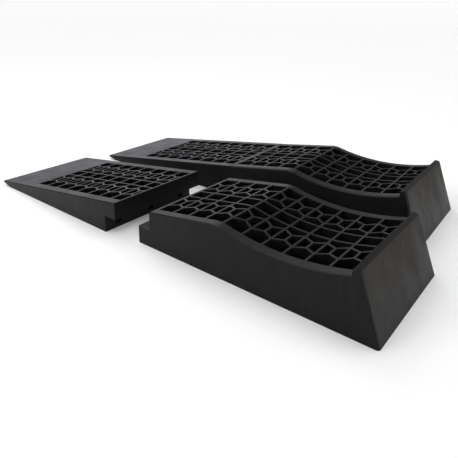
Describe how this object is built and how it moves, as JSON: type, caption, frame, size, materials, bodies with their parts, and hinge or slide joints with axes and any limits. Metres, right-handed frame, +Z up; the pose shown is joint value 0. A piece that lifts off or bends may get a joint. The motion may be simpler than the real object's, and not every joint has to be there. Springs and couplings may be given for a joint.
{
  "type": "leveling block set",
  "caption": "Low plastic wheel ramps for leveling a parked trailer: approach wedges that hook onto ribbed cradle blocks, where the tyre rests against an end stop.",
  "frame": {"origin": "middle of the bounding box of the four pieces, on the ground they stand on", "axes": "+X runs up the ramps from toe to end stop, +Y from the front pair to the rear pair, +Z up"},
  "size_m": [0.951, 0.5568, 0.103],
  "materials": {
    "black_plastic": "satin black, as moulded, with a fine spark-eroded grain, faint vertical flow marks on the outer walls and a soft sheen on the rims and rib tops"
  },
  "bodies": {
    "front_cradle": {"front_block": "black_plastic"},
    "front_approach": {"front_wedge": "black_plastic"},
    "rear_cradle": {"rear_block": "black_plastic"},
    "rear_approach": {"rear_wedge": "black_plastic"}
  },
  "joints": [
    {"name": "front_wedge_slide", "type": "slide", "parent": "front_cradle", "child": "front_approach", "axis": [0.985, 0.1724, 0], "range_m": [-0.06, 0.08122]},
    {"name": "rear_set_shift", "type": "slide", "parent": "front_cradle", "child": "rear_cradle", "axis": [0, 1, 0], "range_m": [0, 0.3]},
    {"name": "rear_wedge_slide", "type": "slide", "parent": "rear_cradle", "child": "rear_approach", "axis": [-0.9996, -0.0274, 0], "range_m": [0, 0.12]}
  ]
}
